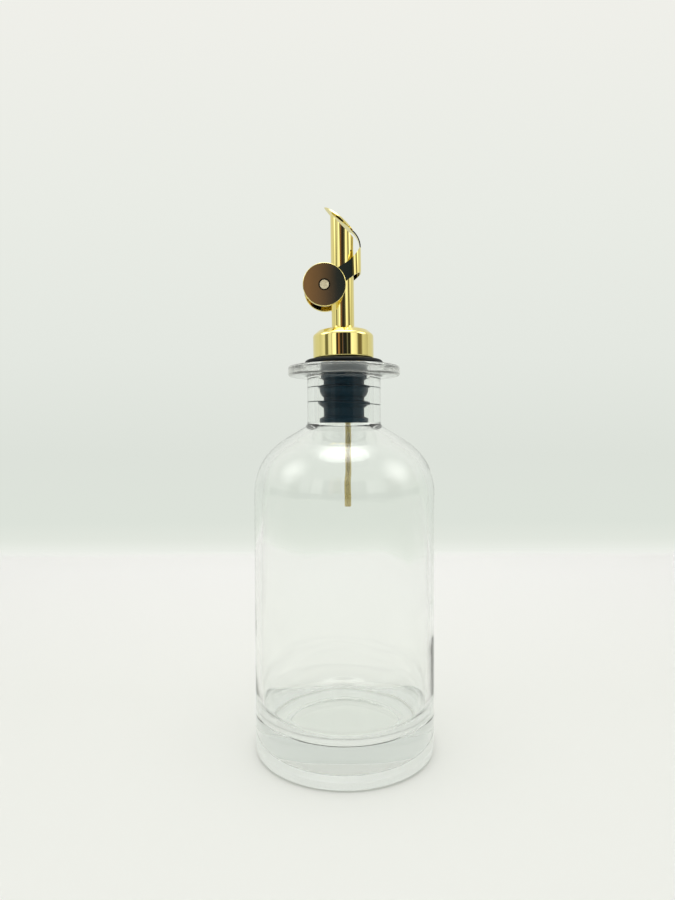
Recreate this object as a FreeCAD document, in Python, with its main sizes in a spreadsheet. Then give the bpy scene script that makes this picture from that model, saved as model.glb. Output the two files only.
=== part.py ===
import FreeCAD, Part
import math
import os
import re

import Sketcher

# An oil dispenser: a clear glass bottle with a rubber stopper, a brass pouring spout and a
# gravity flap that swings on the spout. Millimetres and degrees. The bottle stands on z = 0
# about the Z axis, and the flap opens towards +X about an axis along Y.

# Driving dimensions: alias, value, what it sizes
SIZES = (
    # glass bottle
    ("body_radius", 36.5, "outside of the body"),
    ("bottle_height", 155.7, "base to the top of the lip"),
    ("side_wall", 2.7, "thickness of the body's side"),
    ("shoulder_foot", 118.9, "height where the shoulder's slope would meet the side"),
    ("shoulder_slope", 31, "fall of the shoulder from the level"),
    ("shoulder_round", 25, "outer rounding from shoulder to side"),
    ("shoulder_wall", 3.0, "thickness of the shoulder"),
    ("neck_radius", 14.95, "outside of the neck"),
    ("neck_round", 2.2, "hollow rounding at the neck's foot"),
    ("bore_radius", 10.7, "inside of the neck"),
    ("bore_round", 3.0, "rounding where the bore opens into the shoulder"),
    ("mouth_round", 0.8, "rounding of the bore's mouth"),
    ("lip_radius", 22.7, "outside of the flat lip"),
    ("lip_thickness", 4.0, "height of the flat lip"),
    ("lip_round", 0.9, "rounding of the lip's rim"),
    ("heel_round", 2.0, "rounding at the foot of the side"),
    ("floor_height", 12.8, "glass from the base up to the floor"),
    ("floor_round", 10.9, "rounding between floor and side"),
    ("punt_radius", 26.1, "rim of the hollow under the base"),
    ("punt_depth", 1.9, "depth of the hollow under the base"),
    ("punt_slope", 30.7, "steepness of the hollow's side"),
    ("punt_round", 1.5, "rounding inside the hollow"),
    # rubber stopper
    ("disc_radius", 15.9, "rim of the disc that sits on the lip"),
    ("disc_thickness", 2.6, "thickness of that disc"),
    ("disc_round", 0.4, "rounding of the disc's lower rim"),
    ("disc_crown", 1.5, "rounding of the disc's upper rim"),
    ("plug_length", 23.3, "depth of the plug below the lip's top"),
    ("throat_length", 5.0, "thicker length of the plug under the disc"),
    ("throat_clearance", 1.1, "thicker length to bore, on the radius"),
    ("throat_taper", 0.3, "how much narrower that length is at its end, on the radius"),
    ("core_clearance", 2.45, "plug's core to bore, on the radius"),
    ("fin_depth", 8.5, "upper fin's rim below the lip's top"),
    ("fin_pitch", 6.4, "distance from fin to fin"),
    ("fin_rim", 0.4, "thickness of a fin's rim"),
    ("fin_taper", 1.8, "length over which the lower fin narrows to the core"),
    ("swell_width", 1.6, "swelling under the upper fin, beyond the core"),
    ("swell_length", 3.6, "length of that swelling"),
    ("swell_curve", 4.2, "radius of that swelling's curve"),
    ("fin_clearance", 0.05, "fin to bore, on the radius"),
    ("foot_length", 2.1, "thickness of the plug's foot"),
    ("foot_clearance", 0.8, "foot to bore, on the radius"),
    ("boss_height", 8.6, "boss inside the collar, above the disc"),
    ("boss_clearance", 0.4, "boss to collar, on the radius and above"),
    ("throat_bore", 3.9, "radius of the oil's way through the stopper"),
    # breather tube
    ("breather_radius", 1.25, "outside of the breather tube"),
    ("breather_bore", 0.85, "inside of the breather tube"),
    ("breather_reach", 57.5, "breather's end below the lip's top"),
    ("breather_wall", 0.55, "metal between spout and vent hole"),
    ("breather_turn", 16.3, "vent's place, turned from straight behind"),
    ("push_clearance", 0.02, "parts pushed or soldered together, on the radius"),
    # seat of the metal parts on the stopper
    ("pourer_lean", 0.6, "tilt of the metal parts towards -X"),
    ("pourer_shift", -0.15, "metal parts' place along X"),
    # collar
    ("collar_radius", 12.3, "outside of the collar"),
    ("collar_height", 9.7, "straight side of the collar"),
    ("collar_wall", 1.2, "thickness of the collar's side"),
    ("dome_height", 3.4, "climb of the collar's top"),
    ("dome_shelf", 2.2, "width of the dome's steeper outer band"),
    ("dome_drop", 1.5, "dome's top down to the inner edge of that band"),
    ("dome_round", 1.0, "roundings of the dome"),
    ("collar_round", 1.6, "rounding from the dome to the straight side"),
    ("hem_round", 0.95, "rounding of the collar's lower edge"),
    ("dome_flat", 0.8, "level ring of the dome round the spout"),
    # spout tube
    ("tube_radius", 4.6, "outside of the spout"),
    ("tube_wall", 0.6, "thickness of the spout's wall"),
    ("spout_height", 58.6, "collar's foot to the spout's high edge"),
    ("cut_slope", 46.5, "steepness of the slanting mouth"),
    ("cut_hollow", 30, "radius of the mouth's hollow curve"),
    # flap
    ("sheet_metal", 0.5, "thickness of the flap's sheet"),
    ("pivot_height", 33.4, "flap's axis above the collar's foot"),
    ("dimple_radius", 1.0, "dimples that the flap turns on"),
    ("dimple_clearance", 0.06, "dimple to its hole, on the radius"),
    ("arm_clearance", 0.25, "spout to each arm"),
    ("arm_half", 3.2, "half the width of an arm"),
    ("back_reach", 2.95, "spout to the outside of the flap's back"),
    ("back_rise", 35, "slope of the back's lower edge"),
    ("flare_start", 2.8, "pivot to the flare, along the arm"),
    ("flare_height", 11.1, "pivot up to the flare's top"),
    ("flare_round", 14, "radius of the flare"),
    ("strap_half", 1.5, "half the width of the strap"),
    ("bend_radius", 9.0, "outer bend between strap and lid"),
    ("lid_lift", 4.5, "lid's slope less than the mouth's"),
    ("lid_gap", 0.4, "lid to the spout's high edge"),
    ("lid_overhang", 0.7, "half the lid's width beyond the spout's radius"),
    ("lid_curve", 9.0, "radius of the lid's outline towards its tip"),
    ("lid_neck", 5.5, "radius of the lid's outline towards the strap"),
    ("tip_overhang", 1.6, "lid's tip beyond the spout"),
    ("tip_half", 0.6, "half the width of the tip"),
    # counterweights
    ("weight_radius", 8.6, "radius of a weight"),
    ("weight_thickness", 1.1, "thickness of a weight"),
    ("weight_round", 0.25, "rounding of a weight's rim"),
    ("weight_gap", 2.65, "spout to the weights' middle, across"),
    ("weight_drop", 4.2, "weights' middle below the pivot"),
    ("rivet_radius", 1.8, "shank of a rivet"),
    ("rivet_ring", 0.35, "open ring round the rivet's end"),
    ("rivet_sink", 0.12, "rivet's end below the weight's face"),
    ("rivet_head", 2.5, "radius of a rivet's inner head"),
    ("rivet_head_thickness", 0.4, "thickness of that head"),
)

# Sizes worked out from the driving ones, as expressions on their aliases
SIDE_INSIDE = "(body_radius - side_wall)"
NECK_FOOT = "(shoulder_foot + (body_radius - neck_radius) * tan(shoulder_slope))"
SHOULDER_DROP = "(shoulder_wall / cos(shoulder_slope))"
INNER_FOOT = f"(shoulder_foot + side_wall * tan(shoulder_slope) - {SHOULDER_DROP})"
INNER_NECK = f"(shoulder_foot + (body_radius - bore_radius) * tan(shoulder_slope) - {SHOULDER_DROP})"
PUNT_FLAT = "(punt_radius - punt_depth / tan(punt_slope))"

CORE_RADIUS = "(bore_radius - core_clearance)"
FIN_RADIUS = "(bore_radius - fin_clearance)"
COLLAR_INSIDE = "(collar_radius - collar_wall)"
BOSS_RADIUS = f"({COLLAR_INSIDE} - boss_clearance)"
BOSS_TOP = "(disc_thickness + boss_height)"
COLLAR_CEILING = "(boss_height + boss_clearance)"
BREATHER_RING = "(tube_radius + breather_wall + breather_radius)"
BREATHER_X = f"({BREATHER_RING} * sin(breather_turn))"
BREATHER_Y = f"({BREATHER_RING} * cos(breather_turn))"

ARM_INSIDE = "(tube_radius + arm_clearance)"
ARM_OUTSIDE = f"({ARM_INSIDE} + sheet_metal)"
BACK_OUTSIDE = "(tube_radius + back_reach)"
BACK_INSIDE = f"({BACK_OUTSIDE} - sheet_metal)"
BEND_START = f"({BACK_OUTSIDE} - {ARM_OUTSIDE} + strap_half)"
WEIGHT_X = "(0 - tube_radius - weight_gap)"
WEIGHT_Z = "(pivot_height - weight_drop)"
ARM_ANGLE = "atan(weight_drop / (tube_radius + weight_gap))"

CUT_LOW = "(spout_height - 2 * tube_radius * tan(cut_slope))"
LID_SLOPE = "(cut_slope - lid_lift)"
LID_HALF = "(tube_radius + lid_overhang)"
TIP_X = "(0 - tube_radius - tip_overhang)"

# Where things lie: plain upright, on the lip, or on the stopper with the metal parts' lean
ON_LIP = "placement(vector(0; 0; bottle_height); rotation(vector(0; 1; 0); 0))"
ON_STOPPER = (
    "placement(vector(pourer_shift; 0; bottle_height + disc_thickness + push_clearance"
    " + (collar_radius - hem_round) * sin(pourer_lean)); rotation(vector(0; 1; 0); 0 - pourer_lean))"
)

MARGIN = 2.0        # how far cutting shapes reach past what they cut
MATCH = 0.01        # how closely an edge must match the place it is picked by

PLANE_TURNS = {
    "XY": FreeCAD.Rotation(),
    "XZ": FreeCAD.Rotation(FreeCAD.Vector(1, 0, 0), 90),
    "YZ": FreeCAD.Rotation(FreeCAD.Vector(1, 1, 1), 120),
}

doc = FreeCAD.newDocument("oil_dispenser")
sheet = doc.addObject("Spreadsheet::Sheet", "Sizes")
for row, (alias, number, meaning) in enumerate(SIZES, start=1):
    sheet.set(f"A{row}", meaning)
    sheet.set(f"B{row}", str(number))
    sheet.setAlias(f"B{row}", alias)
doc.recompute()


def on_sheet(expression):
    """The expression with each alias, a name with an underscore, read from the spreadsheet."""
    return re.sub(r"\b[a-z]+(?:_[a-z]+)+\b", r"Sizes.\g<0>", expression)


def worth(expression):
    """The number that an expression gives now."""
    return float(sheet.evalExpression(on_sheet(expression)))


def bind(obj, prop, expression):
    """Tie a property to the spreadsheet."""
    obj.setExpression(prop, on_sheet(expression))


# ---------------------------------------------------------------- sketches and features

def new_body(name, place=None):
    """A PartDesign body whose label names its file."""
    body = doc.addObject("PartDesign::Body", name)
    body.Label = name
    if place:
        bind(body, "Placement", place)
    return body


def new_sketch(owner, name, plane, lift=None):
    """A sketch on a body's origin plane, or on that plane of the document if owner is None."""
    if owner is None:
        sketch = doc.addObject("Sketcher::SketchObject", name)
        sketch.Placement = FreeCAD.Placement(FreeCAD.Vector(), PLANE_TURNS[plane])
        return sketch
    sketch = owner.newObject("Sketcher::SketchObject", name)
    support = [item for item in owner.Origin.OriginFeatures if item.Role == f"{plane}_Plane"]
    sketch.AttachmentSupport = [(support[0], "")]
    sketch.MapMode = "FlatFace"
    if lift:
        bind(sketch, "AttachmentOffset.Base.z", lift)
    return sketch


def fix_point(sketch, label, geometry, end, across, up):
    """Hold one point of a sketch at expressions for its two coordinates."""
    for direction, expression in (("X", across), ("Y", up)):
        held = Sketcher.Constraint(f"Distance{direction}", -1, 1, geometry, end, worth(expression))
        index = sketch.addConstraint(held)
        sketch.renameConstraint(index, f"{label}_{direction}")
        bind(sketch, f"Constraints.{label}_{direction}", expression)


def arc_between(start, end, radius, side):
    """An arc of that radius; side is 1 if it bulges to the left of the way, -1 to the right."""
    chord = end - start
    normal = FreeCAD.Vector(-chord.y, chord.x, 0).normalize()
    half = chord.Length / 2
    sagitta = radius - math.sqrt(max(radius * radius - half * half, 0))
    return Part.Arc(start, (start + end) / 2 + normal * sagitta * side, end)


def outline(owner, name, plane, corners):
    """A closed sketch through corners (across, up), each tied to the spreadsheet.

    A corner (across, up, radius, side) starts an arc of that radius to the next corner.
    """
    sketch = new_sketch(owner, name, plane)
    points = [FreeCAD.Vector(worth(corner[0]), worth(corner[1]), 0) for corner in corners]
    ends = []
    for index, corner in enumerate(corners):
        start = points[index]
        end = points[(index + 1) % len(points)]
        if len(corner) == 2:
            sketch.addGeometry(Part.LineSegment(start, end))
            ends.append((1, 2))
        else:
            sketch.addGeometry(arc_between(start, end, worth(corner[2]), corner[3]))
            ends.append((2, 1) if corner[3] > 0 else (1, 2))
    for index, corner in enumerate(corners):
        following = (index + 1) % len(corners)
        joint = Sketcher.Constraint("Coincident", index, ends[index][1], following, ends[following][0])
        sketch.addConstraint(joint)
        fix_point(sketch, f"corner_{index}", index, ends[index][0], corner[0], corner[1])
        if len(corner) == 4:
            number = sketch.addConstraint(Sketcher.Constraint("Radius", index, worth(corner[2])))
            sketch.renameConstraint(number, f"arc_{index}")
            bind(sketch, f"Constraints.arc_{index}", corner[2])
    return sketch


def circles(owner, name, plane, rings, lift=None):
    """A sketch of circles (across, up, radius), each tied to the spreadsheet."""
    sketch = new_sketch(owner, name, plane, lift)
    for index, (across, up, radius) in enumerate(rings):
        middle = FreeCAD.Vector(worth(across), worth(up), 0)
        sketch.addGeometry(Part.Circle(middle, FreeCAD.Vector(0, 0, 1), worth(radius)))
        fix_point(sketch, f"middle_{index}", index, 3, across, up)
        number = sketch.addConstraint(Sketcher.Constraint("Radius", index, worth(radius)))
        sketch.renameConstraint(number, f"ring_{index}")
        bind(sketch, f"Constraints.ring_{index}", radius)
    return sketch


def turned(body, kind, sketch):
    """A Revolution or Groove of the sketch about the body's Z axis."""
    before = body.Shape.Volume if body.Tip else 0
    feature = body.newObject(f"PartDesign::{kind}", f"{sketch.Name}_{kind.lower()}")
    feature.Profile = sketch
    feature.ReferenceAxis = (sketch, ["V_Axis"])
    feature.Angle = 360
    doc.recompute()
    if kind == "Groove":
        need_less(feature, before)
    return feature


def padded(body, sketch, length, backwards=False):
    """A pad of the sketch, along its normal or against it."""
    feature = body.newObject("PartDesign::Pad", f"{sketch.Name}_pad")
    feature.Profile = sketch
    feature.Reversed = backwards
    bind(feature, "Length", length)
    doc.recompute()
    return feature


def pocketed(body, sketch):
    """A pocket right through the body, both ways from the sketch."""
    before = body.Shape.Volume
    feature = body.newObject("PartDesign::Pocket", f"{sketch.Name}_pocket")
    feature.Profile = sketch
    feature.Type = "ThroughAll"
    feature.Midplane = True
    doc.recompute()
    need_less(feature, before)
    return feature


def need_less(feature, before):
    """Stop if a feature that cuts has taken nothing away."""
    if not feature.Shape.Volume < before - MATCH:
        raise RuntimeError(f"{feature.Name} cuts nothing")


def rounded(body, name, rings, radius, kind="Fillet", axis="z"):
    """A fillet or chamfer on circular edges, each picked by its radius and place on the axis."""
    base = body.Tip
    wanted = [(worth(ring), worth(place)) for ring, place in rings]
    picked = []
    for number, edge in enumerate(base.Shape.Edges, start=1):
        if isinstance(edge.Curve, Part.Circle):
            here = (edge.Curve.Radius, getattr(edge.Curve.Center, axis))
            if any(math.dist(here, place) < MATCH for place in wanted):
                picked.append(f"Edge{number}")
    if len(picked) < len(rings):
        raise RuntimeError(f"{name} found {len(picked)} of {len(rings)} edges")
    feature = body.newObject(f"PartDesign::{kind}", name)
    feature.Base = (base, picked)
    bind(feature, "Radius" if kind == "Fillet" else "Size", radius)
    doc.recompute()
    return feature


def extruded(sketch, name, ahead, behind="0"):
    """A solid of a document sketch, along its normal by one length and back by another."""
    solid = doc.addObject("Part::Extrusion", name)
    solid.Base = sketch
    solid.DirMode = "Normal"
    solid.Solid = True
    bind(solid, "LengthFwd", ahead)
    bind(solid, "LengthRev", behind)
    return solid


def combined(kind, name, first, second):
    """A Part::Common or Part::Cut of two objects."""
    result = doc.addObject(f"Part::{kind}", name)
    result.Base = first
    result.Tool = second
    return result


# ---------------------------------------------------------------- glass bottle

def make_glass_bottle():
    """A turned bottle: thick floor, straight side, sloping shoulder, neck and flat lip."""
    body = new_body("glass_bottle")
    lip_foot = "bottle_height - lip_thickness"
    turned(body, "Revolution", outline(body, "bottle_outside", "XZ", [
        ("0", "0"),
        ("body_radius", "0"),
        ("body_radius", "shoulder_foot"),
        ("neck_radius", NECK_FOOT),
        ("neck_radius", lip_foot),
        ("lip_radius", lip_foot),
        ("lip_radius", "bottle_height"),
        ("0", "bottle_height"),
    ]))
    rounded(body, "shoulder_fillet", [("body_radius", "shoulder_foot")], "shoulder_round")
    rounded(body, "neck_fillet", [("neck_radius", NECK_FOOT)], "neck_round")
    rounded(body, "heel_fillet", [("body_radius", "0")], "heel_round")
    lip_rims = [("lip_radius", lip_foot), ("lip_radius", "bottle_height"), ("neck_radius", lip_foot)]
    rounded(body, "lip_fillet", lip_rims, "lip_round")

    inner_round = "(shoulder_round - side_wall)"
    setback = f"({inner_round} * tan((90 - shoulder_slope) / 2))"
    turned(body, "Groove", outline(body, "bottle_inside", "XZ", [
        ("0", "floor_height"),
        (SIDE_INSIDE, "floor_height"),
        (SIDE_INSIDE, f"{INNER_FOOT} - {setback}", inner_round, -1),
        (f"{SIDE_INSIDE} - {setback} * cos(shoulder_slope)",
         f"{INNER_FOOT} + {setback} * sin(shoulder_slope)"),
        ("bore_radius", INNER_NECK),
        ("bore_radius", "bottle_height"),
        ("0", "bottle_height"),
    ]))
    rounded(body, "bore_fillet", [("bore_radius", INNER_NECK)], "bore_round")
    rounded(body, "floor_fillet", [(SIDE_INSIDE, "floor_height")], "floor_round")
    rounded(body, "mouth_fillet", [("bore_radius", "bottle_height")], "mouth_round")

    turned(body, "Groove", outline(body, "punt", "XZ", [
        ("0", "0"),
        ("punt_radius", "0"),
        (PUNT_FLAT, "punt_depth"),
        ("0", "punt_depth"),
    ]))
    rounded(body, "punt_fillet", [(PUNT_FLAT, "punt_depth")], "punt_round")
    return body


# ---------------------------------------------------------------- stopper and breather

def make_stopper():
    """A rubber plug with sealing fins, a disc on the lip and a boss that holds the collar."""
    body = new_body("stopper", ON_LIP)
    throat = "(bore_radius - throat_clearance)"
    foot = "(bore_radius - foot_clearance)"
    upper_rim = "(fin_rim / 2 - fin_depth)"
    lower_rim = "(fin_rim / 2 - fin_depth - fin_pitch)"
    turned(body, "Revolution", outline(body, "stopper_profile", "XZ", [
        ("0", BOSS_TOP),
        (BOSS_RADIUS, BOSS_TOP),
        (BOSS_RADIUS, "disc_thickness"),
        ("disc_radius", "disc_thickness"),
        ("disc_radius", "0"),
        (throat, "0"),
        (f"{throat} - throat_taper", "0 - throat_length"),
        (CORE_RADIUS, "0 - throat_length - 2 * fin_rim"),
        (CORE_RADIUS, f"{upper_rim} + 2 * fin_rim"),
        (FIN_RADIUS, upper_rim),
        (FIN_RADIUS, f"{upper_rim} - fin_rim"),
        (f"{CORE_RADIUS} + swell_width", f"{upper_rim} - 2 * fin_rim", "swell_curve", 1),
        (CORE_RADIUS, f"{upper_rim} - 2 * fin_rim - swell_length"),
        (CORE_RADIUS, f"{lower_rim} + 2 * fin_rim"),
        (FIN_RADIUS, lower_rim),
        (FIN_RADIUS, f"{lower_rim} - fin_rim"),
        (CORE_RADIUS, f"{lower_rim} - fin_rim - fin_taper"),
        (CORE_RADIUS, "foot_length + foot_clearance - plug_length"),
        (foot, "foot_length - plug_length"),
        (foot, "0 - plug_length"),
        ("0", "0 - plug_length"),
    ]))
    rounded(body, "disc_fillet", [("disc_radius", "0")], "disc_round")
    rounded(body, "disc_crown_fillet", [("disc_radius", "disc_thickness")], "disc_crown")
    pocketed(body, circles(body, "stopper_ways", "XY", [
        ("0", "0", "throat_bore"),
        (BREATHER_X, BREATHER_Y, "breather_radius + push_clearance"),
    ]))
    return body


def make_breather_tube():
    """A thin tube that lets air in, from the boss's top down into the bottle."""
    body = new_body("breather_tube", ON_LIP)
    ring = circles(body, "breather_ring", "XY", [
        (BREATHER_X, BREATHER_Y, "breather_radius"),
        (BREATHER_X, BREATHER_Y, "breather_bore"),
    ], lift="0 - breather_reach")
    padded(body, ring, f"breather_reach + {BOSS_TOP}")
    return body


# ---------------------------------------------------------------- collar and spout

def make_collar():
    """A brass cap over the stopper's boss, with a low dome, a spout hole and a vent."""
    body = new_body("collar", ON_STOPPER)
    spout_hole = "(tube_radius + push_clearance)"
    dome_top = "(collar_height + dome_height)"
    shelf = ("collar_radius - dome_shelf", f"{dome_top} - dome_drop")
    level = (f"{spout_hole} + dome_flat", dome_top)
    turned(body, "Revolution", outline(body, "collar_profile", "XZ", [
        (COLLAR_INSIDE, "0"),
        ("collar_radius", "0"),
        ("collar_radius", "collar_height"),
        shelf,
        level,
        (spout_hole, dome_top),
        (spout_hole, COLLAR_CEILING),
        (COLLAR_INSIDE, COLLAR_CEILING),
    ]))
    rounded(body, "collar_fillet", [("collar_radius", "collar_height")], "collar_round")
    rounded(body, "hem_fillet", [("collar_radius", "0")], "hem_round")
    rounded(body, "dome_fillet", [shelf, level], "dome_round")
    vent = circles(body, "vent", "XY", [(BREATHER_X, BREATHER_Y, "breather_bore")])
    pocketed(body, vent)
    return body


def make_spout_tube():
    """The brass tube: a slanting, slightly hollow mouth and two holes for the flap's dimples."""
    body = new_body("spout_tube", ON_STOPPER)
    ring = circles(body, "tube_ring", "XY", [
        ("0", "0", "tube_radius"),
        ("0", "0", "tube_radius - tube_wall"),
    ], lift=COLLAR_CEILING)
    padded(body, ring, f"spout_height - {COLLAR_CEILING}")
    mouth = outline(body, "mouth_cut", "XZ", [
        ("0 - tube_radius", "spout_height", "cut_hollow", -1),
        ("tube_radius", CUT_LOW),
        (f"tube_radius + {MARGIN}", CUT_LOW),
        (f"tube_radius + {MARGIN}", f"spout_height + {MARGIN}"),
        ("0 - tube_radius", f"spout_height + {MARGIN}"),
    ])
    pocketed(body, mouth)
    hole = circles(body, "pivot_hole", "XZ", [("0", "pivot_height", "dimple_radius + dimple_clearance")])
    pocketed(body, hole)
    return body


# ---------------------------------------------------------------- flap and weights

def make_flap_blade():
    """The lid and the strap behind it: one bent ribbon, trimmed to a leaf's outline."""
    run = f"(({BACK_OUTSIDE} + tube_radius) / cos({LID_SLOPE}) - (lid_gap + sheet_metal) * tan({LID_SLOPE}))"
    fold_z = (
        f"(spout_height + (lid_gap + sheet_metal) * cos({LID_SLOPE}) - {run} * sin({LID_SLOPE}))"
    )
    setback = f"(bend_radius * tan((90 - {LID_SLOPE}) / 2))"
    bend_x = f"({BACK_OUTSIDE} - {setback} * cos({LID_SLOPE}))"
    bend_z = f"({fold_z} + {setback} * sin({LID_SLOPE}))"
    thick_x = f"(sheet_metal * sin({LID_SLOPE}))"
    thick_z = f"(sheet_metal * cos({LID_SLOPE}))"
    climb = f"(({bend_x} - {TIP_X} + {MARGIN}) * tan({LID_SLOPE}))"
    start_x = f"({TIP_X} - {MARGIN})"
    strap_top = f"({fold_z} - {setback})"
    strap_foot = "(pivot_height + flare_height - 1)"
    ribbon = outline(None, "ribbon_edge", "XZ", [
        (start_x, f"{bend_z} + {climb}"),
        (bend_x, bend_z, "bend_radius", 1),
        (BACK_OUTSIDE, strap_top),
        (BACK_OUTSIDE, strap_foot),
        (BACK_INSIDE, strap_foot),
        (BACK_INSIDE, strap_top, "bend_radius - sheet_metal", -1),
        (f"{bend_x} - {thick_x}", f"{bend_z} - {thick_z}"),
        (f"{start_x} - {thick_x}", f"{bend_z} + {climb} - {thick_z}"),
    ])
    tip_z = f"({bend_z} + ({bend_x} - {TIP_X}) * tan({LID_SLOPE}))"
    wide_z = f"({bend_z} + {bend_x} * tan({LID_SLOPE}))"
    leaf = outline(None, "leaf_outline", "YZ", [
        ("tip_half", tip_z, "lid_curve", 1),
        (LID_HALF, wide_z, "lid_neck", 1),
        ("strap_half", bend_z),
        ("strap_half", f"{strap_foot} - {MARGIN}"),
        ("0 - strap_half", f"{strap_foot} - {MARGIN}"),
        ("0 - strap_half", bend_z, "lid_neck", 1),
        (f"0 - {LID_HALF}", wide_z, "lid_curve", 1),
        ("0 - tip_half", tip_z),
    ])
    half = f"({LID_HALF} + {MARGIN})"
    ribbon_solid = extruded(ribbon, "ribbon", half, half)
    leaf_solid = extruded(leaf, "leaf", f"{BACK_OUTSIDE} + {MARGIN}", f"{MARGIN} * 2 - {TIP_X}")
    return combined("Common", "flap_blade", ribbon_solid, leaf_solid)


def make_flap_band():
    """The sleeve round the spout's back and the two arms: a U channel, trimmed from the side."""
    tail = f"({WEIGHT_X} - arm_half - {MARGIN})"
    bend_out = f"({ARM_OUTSIDE} - strap_half)"
    bend_in = f"({ARM_INSIDE} - strap_half)"
    channel = outline(None, "channel_plan", "XY", [
        (tail, f"0 - {ARM_OUTSIDE}"),
        (BEND_START, f"0 - {ARM_OUTSIDE}", bend_out, -1),
        (BACK_OUTSIDE, "0 - strap_half"),
        (BACK_OUTSIDE, "strap_half", bend_out, -1),
        (BEND_START, ARM_OUTSIDE),
        (tail, ARM_OUTSIDE),
        (tail, ARM_INSIDE),
        (BEND_START, ARM_INSIDE, bend_in, 1),
        (BACK_INSIDE, "strap_half"),
        (BACK_INSIDE, "0 - strap_half", bend_in, 1),
        (BEND_START, f"0 - {ARM_INSIDE}"),
        (tail, f"0 - {ARM_INSIDE}"),
    ])
    across = f"(arm_half * sin({ARM_ANGLE}))"
    along = f"(arm_half * cos({ARM_ANGLE}))"
    low_z = f"(pivot_height - arm_half / cos({ARM_ANGLE}))"
    flare_top = "(pivot_height + flare_height)"
    side = outline(None, "band_side", "XZ", [
        (f"{WEIGHT_X} - {across}", f"{WEIGHT_Z} + {along}"),
        (f"flare_start * cos({ARM_ANGLE}) - {across}",
         f"pivot_height + flare_start * sin({ARM_ANGLE}) + {along}", "flare_round", -1),
        (BACK_INSIDE, flare_top),
        (f"{BACK_OUTSIDE} + {MARGIN}", flare_top),
        (f"{BACK_OUTSIDE} + {MARGIN}", f"{low_z} + ({BACK_OUTSIDE} + {MARGIN}) * tan(back_rise)"),
        ("0", low_z),
        (f"{WEIGHT_X} + {across}", f"{WEIGHT_Z} - {along}", "arm_half", 1),
        (f"{WEIGHT_X} - {along}", f"{WEIGHT_Z} - {across}", "arm_half", 1),
    ])
    channel_solid = extruded(channel, "channel", f"{flare_top} + {MARGIN}")
    half = f"({ARM_OUTSIDE} + {MARGIN})"
    return combined("Common", "flap_band", channel_solid, extruded(side, "band_trim", half, half))


def make_flap():
    """The flap: lid, strap, sleeve and arms in one sheet, with two dimples to turn on."""
    pieces = [make_flap_blade(), make_flap_band()]
    dimple_tip = "(tube_radius - tube_wall + push_clearance)"
    dimple_root = f"({ARM_INSIDE} + sheet_metal / 2)"
    for name, foot in (("dimple_front", f"0 - {dimple_root}"), ("dimple_rear", dimple_tip)):
        dimple = doc.addObject("Part::Cylinder", name)
        bind(dimple, "Radius", "dimple_radius")
        bind(dimple, "Height", f"{dimple_root} - {dimple_tip}")
        bind(dimple, "Placement", f"placement(vector(0; {foot}; pivot_height); rotation(vector(1; 0; 0); -90))")
        pieces.append(dimple)
    whole = doc.addObject("Part::MultiFuse", "flap_whole")
    whole.Shapes = pieces
    whole.Refine = True
    rivet_way = circles(None, "rivet_way", "XZ", [(WEIGHT_X, WEIGHT_Z, "rivet_radius + push_clearance")])
    half = f"({ARM_OUTSIDE} + {MARGIN})"
    flap = combined("Cut", "flap", whole, extruded(rivet_way, "rivet_ways", half, half))
    flap.Label = "flap"
    bind(flap, "Placement", ON_STOPPER)
    return flap


def make_weight(name, side):
    """A round counterweight on the outside of one arm, open round its rivet's end."""
    body = new_body(name, ON_STOPPER)
    inner_face = f"({side} * {ARM_OUTSIDE})"
    outer_face = f"({side} * ({ARM_OUTSIDE} + weight_thickness))"
    hole = "(rivet_radius + push_clearance)"
    disc = circles(body, f"{name}_disc", "XZ", [
        (WEIGHT_X, WEIGHT_Z, "weight_radius"),
        (WEIGHT_X, WEIGHT_Z, hole),
    ], lift=f"0 - {inner_face}")
    padded(body, disc, "weight_thickness", backwards=side > 0)
    rims = [("weight_radius", inner_face), ("weight_radius", outer_face)]
    rounded(body, f"{name}_fillet", rims, "weight_round", axis="y")
    rounded(body, f"{name}_sink", [(hole, outer_face)], "rivet_ring", "Chamfer", axis="y")
    return body


def make_rivet(name, side):
    """A rivet through one arm and its weight, with a flat head inside the arm."""
    body = new_body(name, ON_STOPPER)
    foot = f"({ARM_INSIDE} - rivet_head_thickness)"
    lift = f"(0 - {side} * {foot})"
    head = circles(body, f"{name}_head", "XZ", [(WEIGHT_X, WEIGHT_Z, "rivet_head")], lift=lift)
    padded(body, head, "rivet_head_thickness", backwards=side > 0)
    shank = circles(body, f"{name}_shank", "XZ", [(WEIGHT_X, WEIGHT_Z, "rivet_radius")], lift=lift)
    length = f"{ARM_OUTSIDE} + weight_thickness - rivet_sink - {foot}"
    padded(body, shank, length, backwards=side > 0)
    return body


# ---------------------------------------------------------------- build, test, write

parts = [
    make_glass_bottle(),
    make_stopper(),
    make_breather_tube(),
    make_collar(),
    make_spout_tube(),
    make_flap(),
    make_weight("weight_front", -1),
    make_weight("weight_rear", 1),
    make_rivet("rivet_front", -1),
    make_rivet("rivet_rear", 1),
]
doc.recompute()

for item in doc.Objects:
    if "Invalid" in item.State or "Error" in item.State:
        raise RuntimeError(f"{item.Name} failed: {item.State}")
for part in parts:
    if part.Shape.isNull() or not part.Shape.isValid() or len(part.Shape.Solids) != 1:
        raise RuntimeError(f"{part.Label} is not one valid solid")

os.makedirs("parts", exist_ok=True)
for part in parts:
    part.Shape.exportStep(f"parts/{part.Label}.step")
    print(f"{part.Label}: {part.Shape.Volume / 1000:.3f} cm3")
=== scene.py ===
"""An oil dispenser: clear glass bottle, rubber stopper, gold-coloured spout and weighted flap."""
import math

import bmesh
import bpy
from mathutils import Matrix, Vector
from mathutils.noise import fractal


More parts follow.
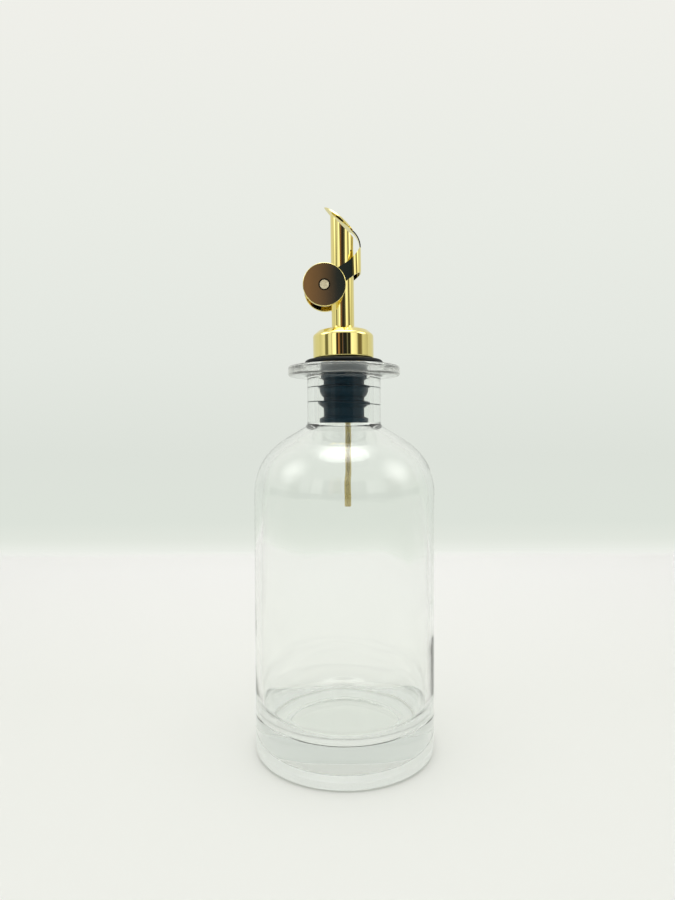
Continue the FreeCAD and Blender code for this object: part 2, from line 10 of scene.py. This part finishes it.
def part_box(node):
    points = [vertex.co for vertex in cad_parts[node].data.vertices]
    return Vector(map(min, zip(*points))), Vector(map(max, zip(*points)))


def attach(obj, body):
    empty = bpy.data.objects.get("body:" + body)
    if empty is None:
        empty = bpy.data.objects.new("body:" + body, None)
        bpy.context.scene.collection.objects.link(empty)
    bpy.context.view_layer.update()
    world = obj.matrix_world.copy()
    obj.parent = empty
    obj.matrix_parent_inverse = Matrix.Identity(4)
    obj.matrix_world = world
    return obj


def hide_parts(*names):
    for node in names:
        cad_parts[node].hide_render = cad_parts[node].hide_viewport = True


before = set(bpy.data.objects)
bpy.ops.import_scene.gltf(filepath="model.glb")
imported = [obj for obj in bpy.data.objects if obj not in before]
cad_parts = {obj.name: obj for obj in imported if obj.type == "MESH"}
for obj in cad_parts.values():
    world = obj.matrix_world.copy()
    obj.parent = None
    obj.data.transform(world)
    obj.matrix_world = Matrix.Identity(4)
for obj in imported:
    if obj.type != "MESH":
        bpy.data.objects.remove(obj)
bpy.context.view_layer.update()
MM = 0.001

# The bottle in millimetres, as in the CAD model
BODY_RADIUS = 36.5
BOTTLE_HEIGHT = 155.7
SIDE_WALL = 2.7
SHOULDER_FOOT = 118.9       # height where the shoulder's slope would meet the side
SHOULDER_SLOPE = math.radians(31)
SHOULDER_ROUND = 25.0
SHOULDER_WALL = 3.0
NECK_RADIUS = 14.95
NECK_ROUND = 2.2
BORE_RADIUS = 10.7
BORE_ROUND = 3.0
MOUTH_ROUND = 0.8
LIP_RADIUS = 22.7
LIP_THICKNESS = 4.0
LIP_ROUND = 0.9
HEEL_ROUND = 2.0
FLOOR_HEIGHT = 12.8
FLOOR_ROUND = 10.9
PUNT_RADIUS = 26.1          # rim of the hollow under the base
PUNT_RIM_ROUND = 0.3
PUNT_TOP_RADIUS = 22.9
PUNT_DEPTH = 1.9
PUNT_ROUND = 1.5
FIN_DEPTH = 8.5             # the stopper's upper fin below the top of the lip
FIN_PITCH = 6.4


# ---------------------------------------------------------------- mesh helpers

ROUNDING_ROOM = 2.2         # how much of a run a corner takes, as a share of its rounding


def rounded_path(corners, steps_per_turn=48):
    """Points (radius, height) of a line through corners (radius, height[, rounding])."""
    path = []
    for index, corner in enumerate(corners):
        here = Vector(corner[:2])
        if len(corner) == 2:
            path.append(here)
            continue
        rounding = corner[2]
        before = (Vector(corners[index - 1][:2]) - here).normalized()
        after = (Vector(corners[index + 1][:2]) - here).normalized()
        half = before.angle(after) / 2
        middle = here + (before + after).normalized() * rounding / math.sin(half)
        setback = rounding / math.tan(half)
        start = here + before * setback - middle
        turn = math.pi - 2 * half
        spin = math.copysign(turn, start.cross(here + after * setback - middle))
        steps = max(3, round(steps_per_turn * turn / math.pi))
        for step in range(steps + 1):
            path.append(middle + Matrix.Rotation(spin * step / steps, 2) @ start)
    return path


def divided(corners, longest=3.0):
    """The corners with points added between them, so that no straight run is long."""
    result = [corners[0]]
    for before, after in zip(corners, corners[1:]):
        start, end = Vector(before[:2]), Vector(after[:2])
        room_before = before[2] * ROUNDING_ROOM if len(before) == 3 else 0
        room_after = after[2] * ROUNDING_ROOM if len(after) == 3 else 0
        length = (end - start).length
        free = length - room_before - room_after
        for step in range(1, int(free / longest)):
            along = (room_before + step * longest) / length
            result.append(tuple(start.lerp(end, along)))
        result.append(after)
    return result


def lathe(name, path, segments, move):
    """A smooth turned piece: (radius, height) in millimetres from axis to axis, each point moved."""
    mesh = bmesh.new()
    rings = []
    for radius, height in path:
        if radius == 0:
            rings.append([mesh.verts.new((0, 0, height * MM))])
            continue
        ring = []
        for step in range(segments):
            angle = math.tau * step / segments
            spot = Vector((radius * math.cos(angle), radius * math.sin(angle), height))
            ring.append(mesh.verts.new(move(spot) * MM))
        rings.append(ring)
    for low, high in zip(rings, rings[1:]):
        for step in range(segments):
            following = (step + 1) % segments
            if len(low) == 1:
                corners = (low[0], high[following], high[step])
            elif len(high) == 1:
                corners = (low[step], low[following], high[0])
            else:
                corners = (low[step], low[following], high[following], high[step])
            mesh.faces.new(corners)
    bmesh.ops.recalc_face_normals(mesh, faces=mesh.faces)
    return placed(name, mesh)


def placed(name, mesh):
    """A smooth object of this mesh, in the scene."""
    data = bpy.data.meshes.new(name)
    mesh.to_mesh(data)
    mesh.free()
    data.shade_smooth()
    piece = bpy.data.objects.new(name, data)
    bpy.context.scene.collection.objects.link(piece)
    return piece


# ---------------------------------------------------------------- node helpers

MOST_NOISE = (0.3, 0.7)     # nearly all of a noise texture's values lie in here


class Tree:
    """The nodes of a material or a world, with a short call for each thing that repeats."""

    def __init__(self, owner):
        owner.use_nodes = True
        self.nodes = owner.node_tree.nodes
        self.links = owner.node_tree.links

    def fill(self, node, inputs):
        """Give a node's inputs, by name or number, plain values or other nodes' sockets."""
        for name, value in inputs.items():
            socket = node.inputs[name]
            if isinstance(value, bpy.types.NodeSocket):
                self.links.new(value, socket)
            elif socket.type == "RGBA":
                socket.default_value = (*value, 1)
            else:
                socket.default_value = value
        return node

    def node(self, kind, inputs=(), **settings):
        """A new node with its settings and inputs."""
        node = self.nodes.new("ShaderNode" + kind)
        for name, value in settings.items():
            setattr(node, name, value)
        return self.fill(node, dict(inputs))

    def math(self, operation, *values):
        """A sum done on sockets and numbers."""
        return self.node("Math", enumerate(values), operation=operation).outputs[0]

    def product(self, first, *others):
        """Sockets and numbers multiplied."""
        for other in others:
            first = self.math("MULTIPLY", first, other)
        return first

    def between(self, value, low, high, first=0.0, last=1.0):
        """The value from low to high as a value from first to last, and no further."""
        ends = {"Value": value, "From Min": low, "From Max": high, "To Min": first, "To Max": last}
        return self.node("MapRange", ends).outputs["Result"]

    def zone(self, value, edge):
        """0 to 1 as a length in metres crosses an edge given in millimetres (start, full)."""
        return self.between(value, edge[0] * MM, edge[1] * MM)

    def split(self, vector):
        """The X, Y and Z of a vector."""
        return self.node("SeparateXYZ", {0: vector}).outputs

    def place(self):
        """X, Y and Z on the object, in metres."""
        return self.split(self.node("TexCoord").outputs["Object"])

    def distance(self, center, **coordinates):
        """How far a place is from the center, by these of its coordinates alone."""
        flat = self.node("CombineXYZ", coordinates).outputs[0]
        return self.node("VectorMath", {0: flat, 1: center}, operation="DISTANCE").outputs["Value"]

    def noise(self, scale, detail, stretch=(1, 1, 1)):
        """Noise of 0 to 1 over the object, with its scale per metre."""
        place = self.node("TexCoord").outputs["Object"]
        sized = self.node("Mapping", {"Vector": place, "Scale": stretch}).outputs[0]
        return self.node("TexNoise", {"Vector": sized, "Scale": scale, "Detail": detail}).outputs["Fac"]

    def spread(self, noise, low, high):
        """Noise as a value that runs from low to high."""
        return self.between(noise, *MOST_NOISE, low, high)

    def color(self, amount, first, second, blend="MIX"):
        """Two colours mixed by an amount of 0 to 1."""
        return self.node("MixRGB", {0: amount, 1: first, 2: second}, blend_type=blend).outputs[0]

    def ramp(self, amount, stops):
        """The colour at an amount of 0 to 1, from stops of (amount, colour)."""
        node = self.node("ValToRGB", {0: amount})
        elements = node.color_ramp.elements
        while len(elements) < len(stops):
            elements.new(0.5)
        for element, (place, color) in zip(elements, stops):
            element.position = place
            element.color = (*color, 1)
        return node.outputs[0]

    def rays(self, *kinds):
        """1 for these kinds of ray and 0 for others."""
        path = self.node("LightPath").outputs
        total = path[kinds[0]]
        for kind in kinds[1:]:
            total = self.math("MAXIMUM", total, path[kind])
        return total

    def dent(self, value, shader, depth, strength):
        """Raise and sink a shader's surface by a value of 0 to 1, with the depth in metres."""
        bump = self.node("Bump", {"Height": value, "Distance": depth, "Strength": strength})
        self.fill(shader, {"Normal": bump.outputs[0]})

    def plain(self, kind, color):
        """A shader of one kind and colour."""
        return self.node(kind, {"Color": color}).outputs[0]

    def mixed(self, amount, first, second):
        """Two shaders mixed by an amount of 0 to 1."""
        return self.node("MixShader", {0: amount, 1: first, 2: second}).outputs[0]

    def output(self, name, **shaders):
        """Send shaders to the material's or the world's output."""
        self.fill(self.nodes[name], shaders)


def new_material(name):
    """A material, its tree and its main shader."""
    material = bpy.data.materials.new(name)
    tree = Tree(material)
    return material, tree, tree.nodes["Principled BSDF"]


def color_of(red, green, blue):
    """A screen colour of 0 to 255 as the renderer's linear colour."""
    return tuple((value / 255) ** 2.2 for value in (red, green, blue))


# ---------------------------------------------------------------- glass

# Edges of the glass's satin, dense and touched zones in millimetres: where each starts and is full
LIP_UNDERSIDE = BOTTLE_HEIGHT - LIP_THICKNESS
LIP_BY_HEIGHT = (LIP_UNDERSIDE - 1.2, LIP_UNDERSIDE - 0.2)
LIP_BY_RADIUS = (NECK_RADIUS + 1.55, NECK_RADIUS + 3.05)
RIM_BY_RADIUS = (LIP_RADIUS - 0.9, LIP_RADIUS - 0.3)
FOOT_BY_HEIGHT = (PUNT_DEPTH + 0.1, PUNT_DEPTH - 0.2)
FOOT_INSIDE = (PUNT_TOP_RADIUS - 0.3, PUNT_TOP_RADIUS + 0.1)
FOOT_OUTSIDE = (BODY_RADIUS - 1.0, BODY_RADIUS - 1.5)
DENSE_BY_HEIGHT = (9.0, 0.0)
DENSE_BY_RADIUS = (BODY_RADIUS - 2.5, BODY_RADIUS - 1.5)
BORE_BY_RADIUS = (BORE_RADIUS + 0.3, BORE_RADIUS + 0.2)

# The lines where the stopper's fins touch the glass: height, and rise for each millimetre along X
FIN_LINES = (
    (BOTTLE_HEIGHT - FIN_DEPTH, -0.01),
    (BOTTLE_HEIGHT - FIN_DEPTH - FIN_PITCH, -0.06),
)
FIN_LINE_HALF = 0.16        # half of such a line's width
PRESSED_RUBBER = (0.02, 0.028, 0.034)

GLASS_ROUGHNESS = (0.018, 0.30)     # where it is clear, and at most on the lip
FOOT_ROUGHNESS = 0.9
FOOT_MILKINESS = 0.6
RIM_MILKINESS = (0.12, 0.60)        # seen straight on, and at a slant
CLEAR_SHADOW = (0.985, 0.99, 0.985)
DENSE_SHADOW = (0.50, 0.51, 0.49)
SATIN_GLASS = (0.92, 0.94, 0.90)


def fin_contact(tree, x, z, reach):
    """1 along the thin lines round the bore where the fins touch the glass, 0 elsewhere."""
    lines = []
    for height, rise in FIN_LINES:
        level = tree.math("MULTIPLY_ADD", x, -rise, z)
        lines.append(tree.math("COMPARE", level, height * MM, FIN_LINE_HALF * MM))
    return tree.product(tree.math("MAXIMUM", *lines), tree.zone(reach, BORE_BY_RADIUS))


def satin_share(tree, on_lip, on_foot, reach):
    """How milky the glass is: evenly on the foot ring, and most at a slant on the lip's rim."""
    facing = tree.node("LayerWeight").outputs["Facing"]
    slanted = tree.between(tree.product(facing, facing), 0.0, 1.0, *RIM_MILKINESS)
    on_rim = tree.product(on_lip, tree.zone(reach, RIM_BY_RADIUS), slanted)
    return tree.math("MULTIPLY_ADD", on_foot, FOOT_MILKINESS, on_rim)


def glass_material():
    """Clear glass, satin on its lip and foot ring, whose depth absorbs a little light."""
    material, tree, glass = new_material("clear_glass")
    x, y, z = tree.place()
    reach = tree.distance((0, 0, 0), X=x, Y=y)
    on_lip = tree.product(tree.zone(z, LIP_BY_HEIGHT), tree.zone(reach, LIP_BY_RADIUS))
    on_foot = tree.product(
        tree.zone(z, FOOT_BY_HEIGHT), tree.zone(reach, FOOT_INSIDE), tree.zone(reach, FOOT_OUTSIDE))

    stipple = tree.noise(900, 2.0)
    on_stippled_foot = tree.product(on_foot, stipple)
    lip_roughness = tree.between(tree.product(on_lip, stipple), 0.0, 1.0, *GLASS_ROUGHNESS)
    tree.fill(glass, {
        "Base Color": (0.985, 0.995, 0.985),
        "IOR": 1.52,
        "Transmission Weight": 1.0,
        "Roughness": tree.math("MULTIPLY_ADD", on_stippled_foot, FOOT_ROUGHNESS, lip_roughness),
    })
    tree.dent(tree.noise(70, 2.0, (1, 1, 0.2)), glass, 0.00008, 0.12)
    satin = tree.plain("BsdfDiffuse", SATIN_GLASS)
    finished = tree.mixed(satin_share(tree, on_lip, on_foot, reach), glass.outputs[0], satin)
    rubber = tree.plain("BsdfDiffuse", PRESSED_RUBBER)
    touched = tree.mixed(fin_contact(tree, x, z, reach), finished, rubber)

    # Shadows and scattered light pass straight through, and are darker through the heavy base
    dense = tree.product(tree.zone(z, DENSE_BY_HEIGHT), tree.zone(reach, DENSE_BY_RADIUS))
    tint = tree.color(tree.product(dense, dense), CLEAR_SHADOW, DENSE_SHADOW)
    passing = tree.plain("BsdfTransparent", tint)
    scattered = tree.rays("Is Shadow Ray", "Is Diffuse Ray")
    depth = tree.node("VolumeAbsorption", {"Color": (0.25, 0.32, 0.27), "Density": 3.6})
    tree.output(
        "Material Output", Surface=tree.mixed(scattered, touched, passing), Volume=depth.outputs[0])
    return material


def outline():
    """The bottle's section as corners (radius, height[, rounding]), from the hollow to the floor."""
    slope = math.tan(SHOULDER_SLOPE)
    drop = SHOULDER_WALL / math.cos(SHOULDER_SLOPE)
    inner_radius = BODY_RADIUS - SIDE_WALL
    neck_foot = SHOULDER_FOOT + (BODY_RADIUS - NECK_RADIUS) * slope
    inner_foot = SHOULDER_FOOT + SIDE_WALL * slope - drop
    inner_neck = SHOULDER_FOOT + (BODY_RADIUS - BORE_RADIUS) * slope - drop
    return [
        (0, PUNT_DEPTH),
        (PUNT_TOP_RADIUS, PUNT_DEPTH, PUNT_ROUND),
        (PUNT_RADIUS, 0, PUNT_RIM_ROUND),
        (BODY_RADIUS, 0, HEEL_ROUND),
        (BODY_RADIUS, SHOULDER_FOOT, SHOULDER_ROUND),
        (NECK_RADIUS, neck_foot, NECK_ROUND),
        (NECK_RADIUS, LIP_UNDERSIDE, LIP_ROUND),
        (LIP_RADIUS, LIP_UNDERSIDE, LIP_ROUND),
        (LIP_RADIUS, BOTTLE_HEIGHT, LIP_ROUND),
        (BORE_RADIUS, BOTTLE_HEIGHT, MOUTH_ROUND),
        (BORE_RADIUS, inner_neck, BORE_ROUND),
        (inner_radius, inner_foot, SHOULDER_ROUND - SIDE_WALL),
        (inner_radius, FLOOR_HEIGHT, FLOOR_ROUND),
        (0, FLOOR_HEIGHT),
    ]


SEGMENTS = 256              # faces round the bottle

# The uneven inside of the body, in millimetres
UNEVEN_RADII = (20, BODY_RADIUS - 1.3)
UNEVEN_HEIGHTS = (20, 122)
UNEVEN_FADE = 12            # height over which it comes and goes at each end
WAVE_DEPTH = 0.45
WAVE_LENGTHS = (24, 24, 30)
RIPPLE_DEPTH = 0.8          # ripples down the right-hand side
RIPPLE_RADIUS = 34
RIPPLE_MIDDLE = 70
RIPPLE_REACH = 48
RIPPLE_LENGTH = 6.5         # height over which a ripple turns by one radian


def blown(spot):
    """Moulded glass is true outside, and gently uneven on the inside of its body."""
    radius = math.hypot(spot.x, spot.y)
    low, high = UNEVEN_HEIGHTS
    if not UNEVEN_RADII[0] < radius < UNEVEN_RADII[1] or not low < spot.z < high:
        return spot
    wave = fractal(Vector([place / length for place, length in zip(spot, WAVE_LENGTHS)]), 1.0, 2.0, 2)
    fade = min(1, (spot.z - low) / UNEVEN_FADE, (high - spot.z) / UNEVEN_FADE)
    on_right = max(0, spot.x / RIPPLE_RADIUS) ** 4
    near_middle = max(0, 1 - abs(spot.z - RIPPLE_MIDDLE) / RIPPLE_REACH)
    ripple = on_right * near_middle * math.sin(spot.z / RIPPLE_LENGTH)
    change = 1 + (WAVE_DEPTH * wave + RIPPLE_DEPTH * ripple) * fade / radius
    return Vector((spot.x * change, spot.y * change, spot.z))


bottle = lathe("bottle_glass", rounded_path(divided(outline())), SEGMENTS, blown)
bottle.data.materials.append(glass_material())
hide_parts("glass_bottle")
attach(bottle, "bottle")


# ---------------------------------------------------------------- metal and rubber

POLISHED = ((0.78, 0.66, 0.23), (0.85, 0.74, 0.31))
POLISHED_GLOSS = (0.015, 0.05)
DULLED = ((0.54, 0.45, 0.19), (0.66, 0.56, 0.27))
DULLED_GLOSS = (0.18, 0.35)
# Painted shade: a near-black ring round each rivet's end on the weights, where the recess falls into
# shade
RIVET_SHADE = (0.012, 0.010, 0.008)
RIVET_SHADE_BY_RADIUS = (2.5, 2.2)         # the ring of painted shade round a rivet's end, in millimetres
DISC_BY_HEIGHT = (BOTTLE_HEIGHT - 0.3, BOTTLE_HEIGHT + 0.1)


def gold_material(name, colors, gloss):
    """Pale gold with faint wipe marks, between two colours and two values of roughness."""
    material, tree, shader = new_material(name)
    marks = tree.noise(220, 4.0, (1, 1, 0.35))
    tree.fill(shader, {
        "Base Color": tree.color(marks, *colors),
        "Metallic": 1.0,
        "Roughness": tree.spread(marks, *gloss),
    })
    tree.dent(tree.noise(160, 1.0), shader, 0.00002, 0.25)
    return material


def weight_material():
    """The spout's gold, with painted shade in the ring round each rivet's end."""
    material = gold_material("gold_plate", POLISHED, POLISHED_GLOSS)
    tree = Tree(material)
    shader = tree.nodes["Principled BSDF"]
    low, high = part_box("rivet_front")
    rivet = ((low[0] + high[0]) / 2, 0, (low[2] + high[2]) / 2)
    place = tree.place()
    # Painted shade: the weight turns near-black close round the rivet
    shade_ring = tree.zone(tree.distance(rivet, X=place["X"], Z=place["Z"]), RIVET_SHADE_BY_RADIUS)
    painted_shade = tree.plain("BsdfDiffuse", RIVET_SHADE)
    tree.output("Material Output", Surface=tree.mixed(shade_ring, shader.outputs[0], painted_shade))
    return material


def rivet_material():
    """Satin, finely pitted rivet ends."""
    material, tree, shader = new_material("rivet_metal")
    pits = tree.noise(900, 3.0)
    tree.fill(shader, {
        "Base Color": tree.color(pits, (0.66, 0.56, 0.34), (0.9, 0.84, 0.62)),
        "Metallic": 0.45,
        "Roughness": tree.spread(pits, 0.35, 0.6),
    })
    tree.dent(pits, shader, 0.0001, 0.5)
    return material


def rubber_material():
    """Moulded rubber with a satin skin, blackest on the disc on top; the plug in the neck is painted
    lighter and bluer, a painted glare from the glass round it.
    """
    material, tree, shader = new_material("black_rubber")
    skin = tree.noise(350, 4.0)
    # Painted glare: the plug's lighter, bluer colour stands for glare through the glass; the disc keeps
    # the rubber's near-black
    plug_with_painted_glare = tree.color(skin, (0.004, 0.017, 0.028), (0.008, 0.030, 0.045))
    disc = tree.color(skin, (0.001, 0.002, 0.003), (0.004, 0.006, 0.007))
    on_disc = tree.zone(tree.place()["Z"], DISC_BY_HEIGHT)
    tree.fill(shader, {
        "Base Color": tree.color(on_disc, plug_with_painted_glare, disc),
        "Roughness": tree.spread(skin, 0.35, 0.55),
        "Specular IOR Level": 0.10,
    })
    tree.dent(tree.noise(1500, 2.0), shader, 0.00003, 0.4)
    return material


def paint(material, *names):
    """Give CAD nodes a better material."""
    for name in names:
        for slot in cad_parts[name].material_slots:
            slot.material = material


paint(gold_material("gold_metal", POLISHED, POLISHED_GLOSS), "collar", "spout_tube", "flap")
paint(gold_material("dull_gold", DULLED, DULLED_GLOSS), "breather_tube")
paint(weight_material(), "weight_front", "weight_rear")
paint(rivet_material(), "rivet_front", "rivet_rear")
paint(rubber_material(), "stopper")


# ---------------------------------------------------------------- floor and wall

# In metres, with the floor just below the glass, so that the two never share a face
FLOOR = -0.00012
FLOOR_FRONT = -2.5
SWEEP_START = 0.38          # where the floor starts to curve up
SWEEP_RADIUS = 0.06
SWEEP_STEPS = 16
WALL_TOP = 0.9
HALF_WIDTH = 1.6

# Painted light: the flat paper is coloured lighter towards the back, as the light falls on it
PAPER_NEAR = color_of(235, 236, 231)
PAPER_FAR = color_of(244, 244, 242)
PAPER_FADE = (0.05, 0.32)   # where along Y the near paper turns into the lighter, painted far one
WALL_CLIMB = 0.004          # height above which the wall glows with its painted light
# Painted light on the wall: the colours it glows with, by height, dimmest low down
WALL_PAINTED_GLOW = (
    (0.0, color_of(240, 243, 236)),
    (0.010, color_of(232, 236, 228)),
    (0.022, color_of(225, 230, 221)),
    (0.05, color_of(220, 226, 217)),
    (0.17, color_of(220, 225, 217)),
    (0.35, color_of(227, 231, 224)),
    (0.60, color_of(232, 235, 228)),
    (1.0, color_of(239, 239, 233)),
)
PAINTED_GLOW_TOP = 0.6            # height of the last colour of the painted glow


def paper_material():
    """Pale paper, painted lighter towards the back where it lies flat; where it climbs behind the
    object it glows with painted light, dimmest low on the wall.
    """
    material, tree, paper = new_material("backdrop_paper")
    place = tree.split(tree.node("NewGeometry").outputs["Position"])
    height = place["Z"]
    painted_lighter_back = tree.between(place["Y"], *PAPER_FADE)
    tree.fill(paper, {
        "Base Color": tree.color(painted_lighter_back, PAPER_NEAR, PAPER_FAR),
        "Roughness": 0.9,
        "Specular IOR Level": 0.2,
    })
    # Painted light: the climbing wall glows for camera, glossy and transmission rays instead of being
    # lit
    glow = tree.plain("Emission", tree.ramp(tree.between(height, 0.0, PAINTED_GLOW_TOP), WALL_PAINTED_GLOW))
    seen = tree.rays("Is Camera Ray", "Is Glossy Ray", "Is Transmission Ray")
    share = tree.product(tree.between(height, 0.0, WALL_CLIMB), seen)
    tree.output("Material Output", Surface=tree.mixed(share, paper.outputs[0], glow))
    return material


def sweep_backdrop():
    """A floor that curves up into a wall well behind the object."""
    path = [(FLOOR_FRONT, FLOOR), (SWEEP_START, FLOOR)]
    for step in range(1, SWEEP_STEPS + 1):
        angle = math.radians(90 * step / SWEEP_STEPS)
        along = SWEEP_START + SWEEP_RADIUS * math.sin(angle)
        path.append((along, FLOOR + SWEEP_RADIUS - SWEEP_RADIUS * math.cos(angle)))
    path.append((SWEEP_START + SWEEP_RADIUS, WALL_TOP))
    mesh = bmesh.new()
    rows = [[mesh.verts.new((x, y, z)) for x in (-HALF_WIDTH, HALF_WIDTH)] for y, z in path]
    for low, high in zip(rows, rows[1:]):
        mesh.faces.new((low[0], low[1], high[1], high[0]))
    backdrop = placed("backdrop", mesh)
    backdrop.data.materials.append(paper_material())


# ---------------------------------------------------------------- light

# The walls that metal and glass reflect: degrees round from the front, and the colour there
ROOM = (
    (-180, (0.80, 0.82, 0.78)),
    (-135, (0.50, 0.50, 0.44)),
    (-120, (0.85, 0.87, 0.80)),
    (-95, (0.75, 0.77, 0.70)),
    (-76, (1.00, 1.02, 0.95)),
    (-71, (0.22, 0.22, 0.16)),
    (-61, (0.18, 0.18, 0.12)),
    (-57, (1.00, 1.02, 0.98)),
    (-46, (1.00, 1.02, 0.98)),
    (-44, (0.35, 0.35, 0.28)),
    (-41, (1.50, 1.50, 1.45)),
    (-30, (1.60, 1.60, 1.55)),
    (-26, (0.02, 0.02, 0.02)),
    (-21, (0.03, 0.02, 0.02)),
    (-18, (0.60, 0.32, 0.20)),
    (-15, (0.40, 0.21, 0.13)),
    (-12, (0.02, 0.02, 0.02)),
    (-5, (0.02, 0.02, 0.02)),
    (-2.7, (0.25, 0.155, 0.15)),
    (0.2, (0.012, 0.028, 0.072)),
    (3, (0.02, 0.022, 0.03)),
    (12, (0.02, 0.02, 0.02)),
    (15, (0.26, 0.27, 0.27)),
    (18, (0.02, 0.02, 0.02)),
    (26, (0.03, 0.03, 0.02)),
    (30, (1.50, 1.50, 1.45)),
    (50, (1.10, 1.12, 1.00)),
    (58, (0.16, 0.14, 0.09)),
    (71, (0.22, 0.19, 0.12)),
    (78, (0.85, 0.87, 0.78)),
    (108, (0.62, 0.62, 0.52)),
    (180, (0.80, 0.82, 0.78)),
)

# Places in the room are parts of a direction of length 1: Z is its height, and Y is -1 in front
WALLS_MIDDLE = 0.22
WALLS_END = (0.24, 0.30)    # how far above and below their middle the walls fade out
BEYOND_WALLS = (0.90, 0.92, 0.86)
WALLS_FOOT = (0.085, 0.105)
FOOT_DIMMING = 0.18         # how bright the walls are below their foot

# Soft bright patches overhead: direction, how far round it they reach in degrees, and strength
PATCHES = (
    ((0.0, -0.06, 1.0), 32, 7.0),
    ((-0.82, -0.14, 0.56), 24, 3.5),
    ((0.84, -0.14, 0.54), 24, 3.5),
)
PATCH_WARMTH = 0.96         # blue in a patch's light, as a share of its red

# Inside the glass the room is mostly a plain one: dark in front near the level, pale elsewhere
SOFT_SHARE = 0.85
SOFT_FRONT = (0.06, 0.08, 0.09)
SOFT_ELSEWHERE = (0.84, 0.86, 0.82)
SOFT_BY_DEPTH = (-0.45, -0.10)
SOFT_BY_HEIGHT = (0.18, 0.32)


def reflected_walls(tree, x, y, z):
    """The colour of the walls all round, dimmer at their foot, and pale above and below them."""
    stops = [((degrees + 180) / 360, color) for degrees, color in ROOM]
    turn = tree.math("ARCTAN2", x, tree.product(y, -1))
    around = tree.ramp(tree.between(turn, -math.pi, math.pi), stops)
    dimming = tree.between(z, *WALLS_FOOT, FOOT_DIMMING, 1.0)
    walls = tree.color(1, around, dimming, "MULTIPLY")
    from_middle = tree.math("ABSOLUTE", tree.math("SUBTRACT", z, WALLS_MIDDLE))
    return tree.color(tree.between(from_middle, *WALLS_END), walls, BEYOND_WALLS)


def with_patches(tree, way, room):
    """The room's colour with the soft bright patches added."""
    for direction, reach, strength in PATCHES:
        aim = {0: way, 1: Vector(direction).normalized()}
        facing = tree.node("VectorMath", aim, operation="DOT_PRODUCT").outputs["Value"]
        patch = tree.between(facing, math.cos(math.radians(reach)), 1.0)
        light = (strength, strength, strength * PATCH_WARMTH)
        room = tree.color(tree.product(patch, patch), room, light, "ADD")
    return room


def make_world():
    """Even light all round, and for metal and glass a room with a dark front and bright sides."""
    world = bpy.data.worlds.new("room")
    bpy.context.scene.world = world
    tree = Tree(world)
    even = tree.fill(tree.nodes["Background"], {"Color": (1.0, 1.0, 0.985), "Strength": 0.84})
    way = tree.node("TexCoord").outputs["Generated"]
    x, y, z = tree.split(way)
    bright = with_patches(tree, way, reflected_walls(tree, x, y, z))
    by_height = tree.between(tree.math("ABSOLUTE", z), *SOFT_BY_HEIGHT)
    elsewhere = tree.math("MAXIMUM", tree.between(y, *SOFT_BY_DEPTH), by_height)
    soft = tree.color(elsewhere, SOFT_FRONT, SOFT_ELSEWHERE)
    softening = tree.product(tree.rays("Is Transmission Ray"), SOFT_SHARE)
    room = tree.plain("Background", tree.color(softening, bright, soft))
    mirrored = tree.rays("Is Glossy Ray", "Is Transmission Ray")
    tree.output("World Output", Surface=tree.mixed(mirrored, even.outputs[0], room))


def lamp(name, place, aim, size, power):
    """A soft round lamp that points from its place to its aim and doesn't show in reflections."""
    data = bpy.data.lights.new(name, "AREA")
    data.shape = "ELLIPSE"
    data.size, data.size_y = size
    data.energy = power
    light = bpy.data.objects.new(name, data)
    bpy.context.scene.collection.objects.link(light)
    light.location = place
    light.visible_glossy = False
    light.rotation_euler = (Vector(aim) - Vector(place)).to_track_quat("-Z", "Y").to_euler()


# ---------------------------------------------------------------- camera

CAMERA_PLACE = (-0.0027, -0.2615, 0.1299)
CAMERA_PITCH = math.radians(-1.79)
CAMERA_ROLL = math.radians(-0.18)
CAMERA_LENS = 25.6
CAMERA_SENSOR = 36


def set_camera():
    """A camera close to the bottle, nearly level with its shoulder."""
    data = bpy.data.cameras.new("camera")
    data.lens = CAMERA_LENS
    data.sensor_width = CAMERA_SENSOR
    data.sensor_height = CAMERA_SENSOR
    data.clip_start = 0.01
    camera = bpy.data.objects.new("camera", data)
    bpy.context.scene.collection.objects.link(camera)
    bpy.context.scene.camera = camera
    camera.matrix_world = (
        Matrix.Translation(CAMERA_PLACE)
        @ Matrix.Rotation(math.radians(90) + CAMERA_PITCH, 4, "X")
        @ Matrix.Rotation(CAMERA_ROLL, 4, "Z")
    )


sweep_backdrop()
make_world()
lamp("soft_key", (0.0, -0.05, 0.7), (0, 0.02, 0), (0.5, 0.4), 1.1)
set_camera()
bpy.context.scene.view_settings.view_transform = "Standard"
